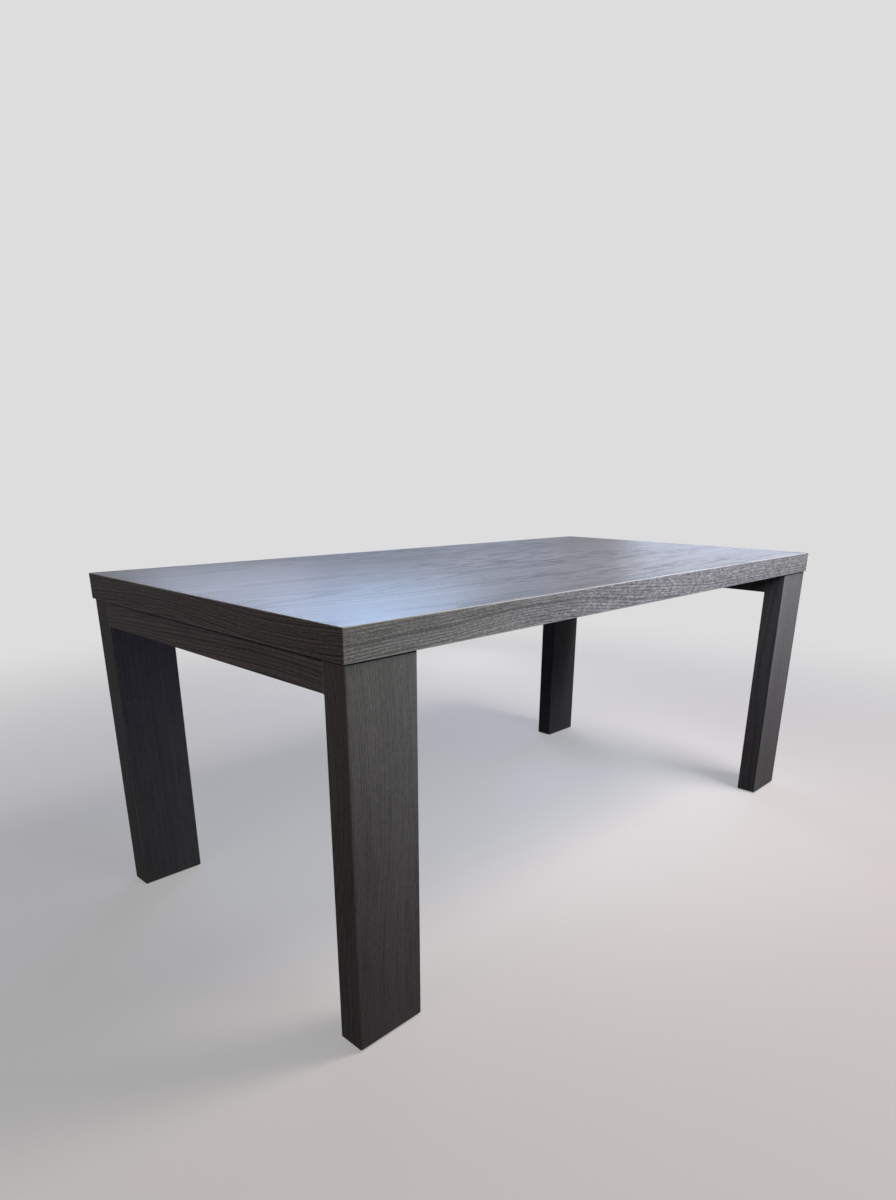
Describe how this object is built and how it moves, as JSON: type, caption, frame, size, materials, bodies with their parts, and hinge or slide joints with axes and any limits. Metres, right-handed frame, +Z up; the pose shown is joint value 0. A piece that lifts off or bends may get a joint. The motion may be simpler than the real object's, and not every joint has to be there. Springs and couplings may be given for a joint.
{
  "type": "parsons dining table",
  "caption": "Rectangular parsons dining table: thick hollow mitred top bolted to flush end frames of flat legs and rails, charcoal wire-brushed oak.",
  "frame": {"origin": "on the floor, under the middle of the top", "axes": "+X along the long side towards the right end frame, +Y across the table towards the back, +Z up"},
  "size_m": [1.8, 0.9, 0.76],
  "materials": {
    "charcoal_oak": "wire-brushed open-pore oak, charcoal stain under matte lacquer",
    "underside_oak": "plain oak veneer, charcoal stain, unbrushed",
    "core_timber": "planed softwood, unfinished",
    "tenon_beech": "planed beech, unfinished",
    "plated_steel": "bright zinc plating",
    "insert_brass": "turned brass",
    "glide_nylon": "hard black nylon"
  },
  "bodies": {
    "root": {"core_backer_back": "core_timber", "core_backer_front": "core_timber", "core_cross_rib_1": "core_timber", "core_cross_rib_2": "core_timber", "core_cross_rib_3": "core_timber", "core_cross_rib_4": "core_timber", "core_cross_rib_5": "core_timber", "core_long_rib_1": "core_timber", "core_long_rib_2": "core_timber", "core_long_rib_3": "core_timber", "edge_board_back": "charcoal_oak", "edge_board_front": "charcoal_oak", "edge_board_left_end": "charcoal_oak", "edge_board_right_end": "charcoal_oak", "end_rail_left": "charcoal_oak", "end_rail_right": "charcoal_oak", "fixing_block_left": "core_timber", "fixing_block_right": "core_timber", "foot_glide_back_left": "glide_nylon", "foot_glide_back_right": "glide_nylon", "foot_glide_front_left": "glide_nylon", "foot_glide_front_right": "glide_nylon", "frame_bolts_left": "plated_steel", "frame_bolts_right": "plated_steel", "leg_back_left": "charcoal_oak", "leg_back_right": "charcoal_oak", "leg_front_left": "charcoal_oak", "leg_front_right": "charcoal_oak", "loose_tenons_left": "tenon_beech", "loose_tenons_right": "tenon_beech", "threaded_inserts_left": "insert_brass", "threaded_inserts_right": "insert_brass", "top_panel": "charcoal_oak", "underside_panel": "underside_oak"}
  },
  "joints": []
}
